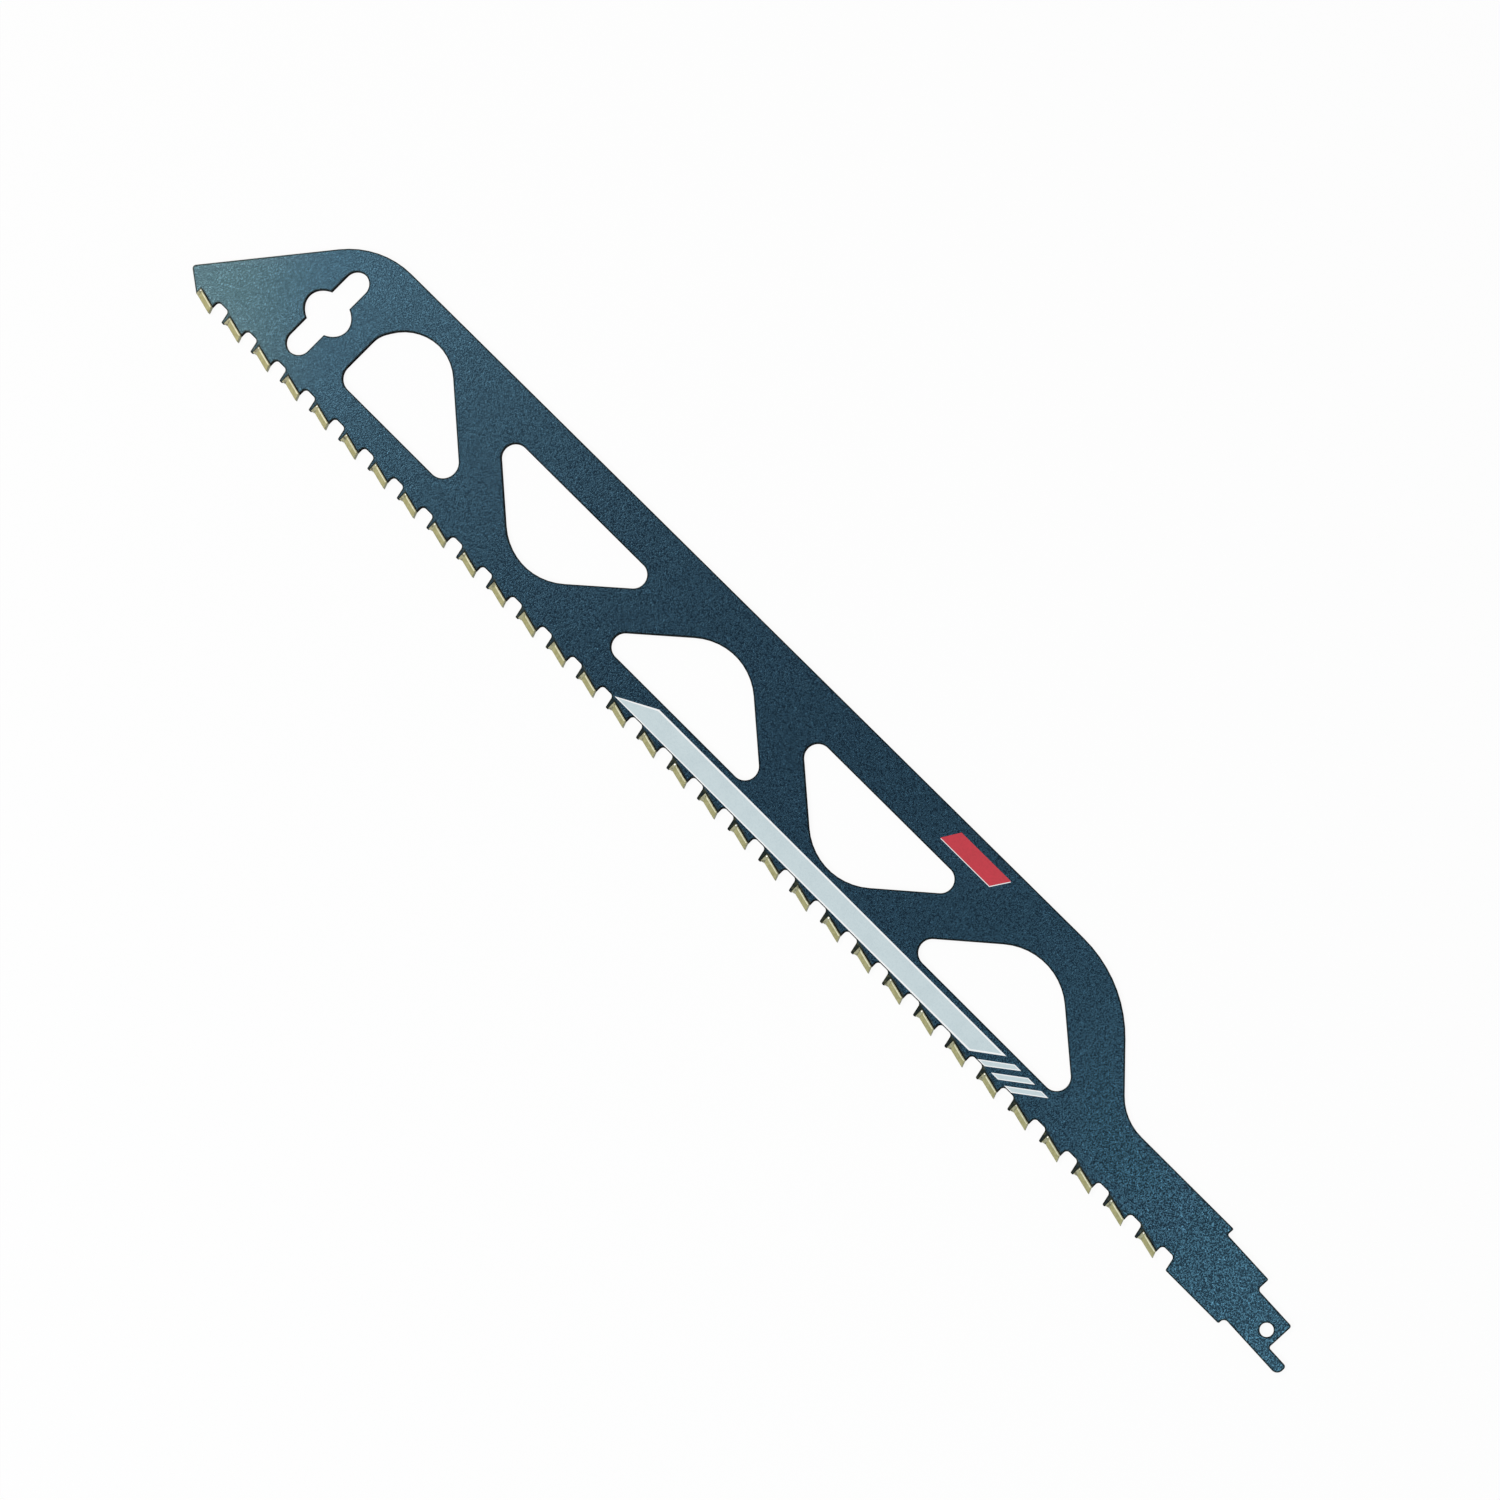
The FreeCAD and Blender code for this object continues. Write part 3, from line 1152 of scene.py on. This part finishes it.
@dataclass
class PrintedFace:
    """The print on the upper face: a stripe, three slashes and a small red flag.

    Args:
        node: the CAD node whose upper face is printed.
        film: thickness of one layer of ink, in metres.
        low: lower edge of the stripe and slashes, in mm.
        high: upper edge of the stripe and slashes, in mm.
    """

    node: str = "blade_body"
    film: float = 0.012 * MM
    low: float = -3.62
    high: float = 2.75

    def patches(self) -> list[Patch]:
        """The printed fields, with their corners going round against the clock.

        Returns:
            The stripe, the slashes and the flag.
        """
        stripe = ((-260.7, self.low), (-114.7, self.low), (-106.0, self.high), (-248.5, self.high))
        fields = [Patch("stripe", stripe, Ink.SILVER, border=0.50)]
        slashes = (((-111.3, -108.4), (-102.6, -100.0)),
                   ((-105.8, -103.0), (-97.2, -94.5)),
                   ((-100.5, -97.7), (-91.9, -89.1)))
        for n, (bottom, top) in enumerate(slashes, 1):
            corners = ((bottom[0], self.low), (bottom[1], self.low), (top[1], self.high), (top[0], self.high))
            fields.append(Patch("slash_%d" % n, corners, Ink.SILVER, border=0.28))
        flag = ((-163.7, 33.7), (-143.8, 33.7), (-140.3, 39.0), (-160.4, 39.0))
        fields.append(Patch("flag", flag, Ink.RED, slip=(0.15, -0.20)))
        return fields

    def build(self) -> list[bpy.types.Object]:
        """Builds every printed field.

        Returns:
            The printed fields, each with its white underprint.
        """
        made = {ink: ink.value.material() for ink in Ink}
        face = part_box(self.node)[1].z
        pieces = []
        for patch in self.patches():
            ring = [Vector((x * MM, y * MM, 0.0)) for x, y in patch.corners]
            slip = Vector((patch.slip[0] * MM, patch.slip[1] * MM, 0.0))
            shape = bmesh.new()
            underprint = [point + slip for point in ring]
            self._layer(shape, underprint, face + self.film, PrintFinish.UNDERPRINT)
            self._layer(shape, shift_ring(ring, patch.border * MM), face + 2 * self.film, PrintFinish.INK)
            mesh = finished_mesh(shape, patch.name, [made[Ink.WHITE], made[patch.ink]])
            pieces.append(add_piece("print_" + patch.name, mesh))
        return pieces

    def _layer(self, shape: bmesh.types.BMesh, ring: Ring, height: float, finish: PrintFinish) -> None:
        """Adds one closed layer of ink, thick enough to be sunk in what is under it.

        Args:
            shape: the shape to add to.
            ring: the layer's outline.
            height: height of the layer's upper side.
            finish: the layer's material number.
        """
        upper = [shape.verts.new((point.x, point.y, height)) for point in ring]
        lower = [shape.verts.new((point.x, point.y, height - 2 * self.film)) for point in ring]
        faces = [shape.faces.new(upper), shape.faces.new(reversed(lower))]
        for n in range(len(ring)):
            faces.append(shape.faces.new((lower[n - 1], lower[n], upper[n], upper[n - 1])))
        for face in faces:
            face.material_index = finish


@dataclass(frozen=True)
class Panel:
    """One soft lamp that faces down.

    Args:
        name: its name.
        place: where it hangs, in metres.
        size: its sides along and across the blade, in metres.
        power: its power in watts.
        colour: its colour.
    """

    name: str
    place: Point
    size: Place
    power: float
    colour: Colour

    def hang(self) -> None:
        """Hangs the lamp."""
        lamp = bpy.data.lights.new(self.name, "AREA")
        lamp.color = self.colour
        lamp.shape = "RECTANGLE"
        lamp.size, lamp.size_y = self.size
        lamp.energy = self.power
        new_object(self.name, lamp).location = self.place


@dataclass
class Studio:
    """Camera, floor, lamps and surroundings.

    Args:
        camera_place: where the camera is, in metres.
        camera_turn: its turn about X, Y and Z, in degrees.
        lens: its focal length in mm.
        sensor: width of its sensor in mm.
        sight: how near and how far it sees, in metres.
        panels: the lamps; the first two are high up, where the paint of the nose and the shank mirrors them.
        ambient: how strongly the surroundings light the blade.
        ambient_colour: their colour, a little cool.
        floor_half: half of the floor's side, in metres.
        floor_colour: the floor's colour under the lamps.
        backing: how much of the floor's white doesn't depend on the lamps.
    """

    camera_place: Point = (0.05890, 0.01219, 1.41543)
    camera_turn: Point = (7.973, 7.886, 45.418)
    lens: float = 120.0
    sensor: float = 36.0
    sight: Limits = (0.01, 50.0)
    panels: tuple[Panel, ...] = (
        Panel("nose_panel", (-1.30, 0.02, 2.0), (0.45, 0.42), 12.2, (1.23, 1.0, 0.76)),
        Panel("shank_panel", (0.09, 0.03, 2.0), (0.5, 0.55), 7.1, (1.02, 1.00, 0.79)),
        Panel("side_panel", (-0.20, -1.20, 1.7), (1.2, 0.7), 18.0, (0.90, 0.97, 1.05)),
    )
    ambient: float = 0.30
    ambient_colour: Colour = (0.84, 0.94, 1.14)
    floor_half: float = 12.0
    floor_colour: Colour = (0.93, 0.93, 0.93)
    backing: float = 0.92

    def build(self) -> None:
        """Sets up everything round the blade."""
        bpy.context.scene.view_settings.view_transform = "Standard"
        self._camera()
        self._floor()
        self._surroundings()
        for panel in self.panels:
            panel.hang()

    def _camera(self) -> None:
        """Puts the camera where the photographer's was."""
        camera = new_object("camera", bpy.data.cameras.new("camera"))
        camera.location = self.camera_place
        camera.rotation_euler = Euler([math.radians(turn) for turn in self.camera_turn])
        camera.data.sensor_width = self.sensor
        camera.data.lens = self.lens
        camera.data.clip_start, camera.data.clip_end = self.sight
        bpy.context.scene.camera = camera

    @staticmethod
    def _seen(board: Board) -> Value:
        """Tells the rays that show a background: from the camera, or off or through the blade.

        Args:
            board: the board of the floor or of the world.

        Returns:
            1 for those rays and 0 for the others.
        """
        rays = board.add("LightPath").outputs
        camera, glossy, through = (board.value(rays["Is %s Ray" % kind])
                                   for kind in ("Camera", "Glossy", "Transmission"))
        return camera.at_least(glossy).at_least(through)

    def _floor(self) -> None:
        """Lays a pale floor under the lowest points of the blade."""
        half, level = self.floor_half, cad_box[0].z
        mesh = bpy.data.meshes.new("floor")
        corners = [(-half, -half, level), (half, -half, level), (half, half, level), (-half, half, level)]
        mesh.from_pydata(corners, [], [(0, 1, 2, 3)])
        board = new_board("floor")
        cloth = board.add("BsdfDiffuse", None, {"Color": self.floor_colour})
        white = board.add("Emission", None, {"Color": (1.0, 1.0, 1.0), "Strength": 1.0})
        values = {"Fac": self._seen(board) * self.backing, 1: cloth.outputs[0], 2: white.outputs[0]}
        both = board.add("MixShader", None, values)
        board.add("OutputMaterial", None, {"Surface": both.outputs[0]})
        mesh.materials.append(board.owner)
        floor = new_object("floor", mesh)

    def _surroundings(self) -> None:
        """Surrounds the blade with plain soft light, and shows white behind it."""
        world = bpy.data.worlds.new("surroundings")
        bpy.context.scene.world = world
        board = Board(world)
        light = board.add("Background", None, {"Color": self.ambient_colour, "Strength": self.ambient})
        white = board.add("Background", None, {"Color": (1.0, 1.0, 1.0), "Strength": 1.0})
        values = {"Fac": self._seen(board), 1: light.outputs[0], 2: white.outputs[0]}
        both = board.add("MixShader", None, values)
        board.add("OutputWorld", None, {"Surface": both.outputs[0]})


def main() -> None:
    """Builds the blade's looks in order."""
    logging.basicConfig(level=logging.INFO, format="%(message)s")
    row = ToothRow.from_frame()
    Studio().build()
    Plate(row).build()
    CarbideTips(row).build()
    BrazeBeads(row).build()
    PrintedFace().build()


if __name__ == "__main__":
    main()
